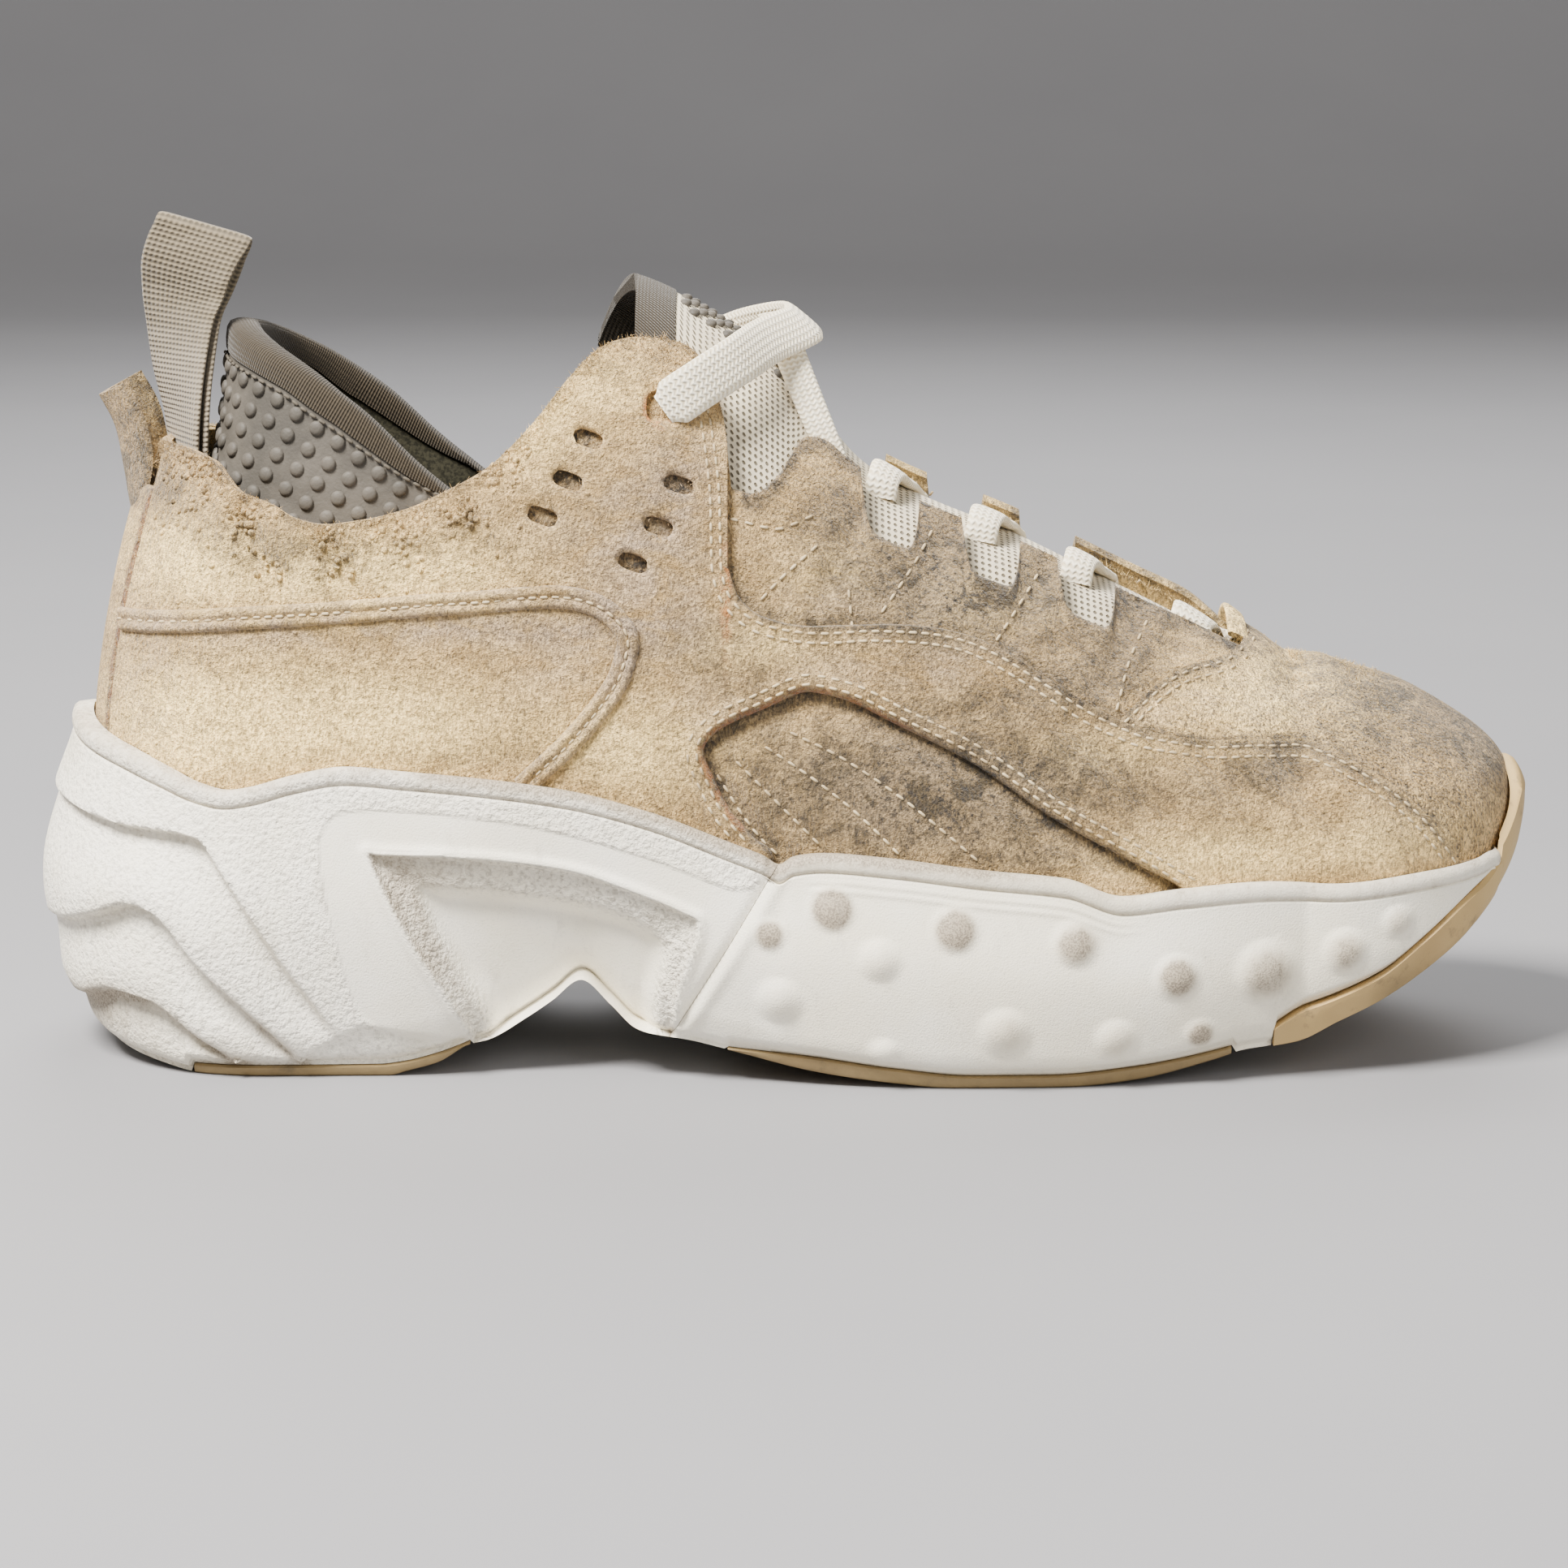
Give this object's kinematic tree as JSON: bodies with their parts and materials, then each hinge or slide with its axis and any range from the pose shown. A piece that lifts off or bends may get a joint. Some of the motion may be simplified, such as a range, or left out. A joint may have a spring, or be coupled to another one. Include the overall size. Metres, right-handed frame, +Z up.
{
  "type": "low sneaker",
  "caption": "Worn low suede sneaker for the right foot on a thick sculpted foam sole with a gum tread, a leaning studded cuff and a webbing pull loop",
  "frame": {"origin": "middle of the bounding box on the floor under the sole", "axes": "+X to the toe, +Y to the inner side of the foot, +Z up"},
  "size_m": [0.3097, 0.1076, 0.1714],
  "materials": {
    "gum": "satin tan gum rubber, scuffed",
    "foam": "moulded white foam, grained and dirty",
    "sock_liner": "dark olive cloth",
    "suede": "hairy beige suede, soiled",
    "cuff_rubber": "matt grey studded knit",
    "ribbed_tape": "ribbed warm grey tape",
    "mesh": "white open mesh",
    "webbing": "off-white woven webbing, grimy",
    "lace": "white flat woven lace"
  },
  "bodies": {
    "root": {"outsole_heel": "gum", "outsole_forefoot": "gum", "outsole_toe_wrap": "gum", "midsole_heel": "foam", "midsole_forefoot": "foam", "insole": "sock_liner", "upper": "suede", "quarter_lateral": "suede", "quarter_medial": "suede", "piping_lateral": "suede", "piping_medial": "suede", "vamp_panel": "suede", "heel_strip": "suede", "collar_cuff": "cuff_rubber", "cuff_binding": "ribbed_tape", "tongue": "mesh", "tongue_binding": "ribbed_tape", "pull_loop": "webbing", "lace_bar_top": "lace", "lace_bar_1": "lace", "lace_bar_2": "lace", "lace_bar_3": "lace", "lace_bar_4": "lace"}
  },
  "joints": []
}
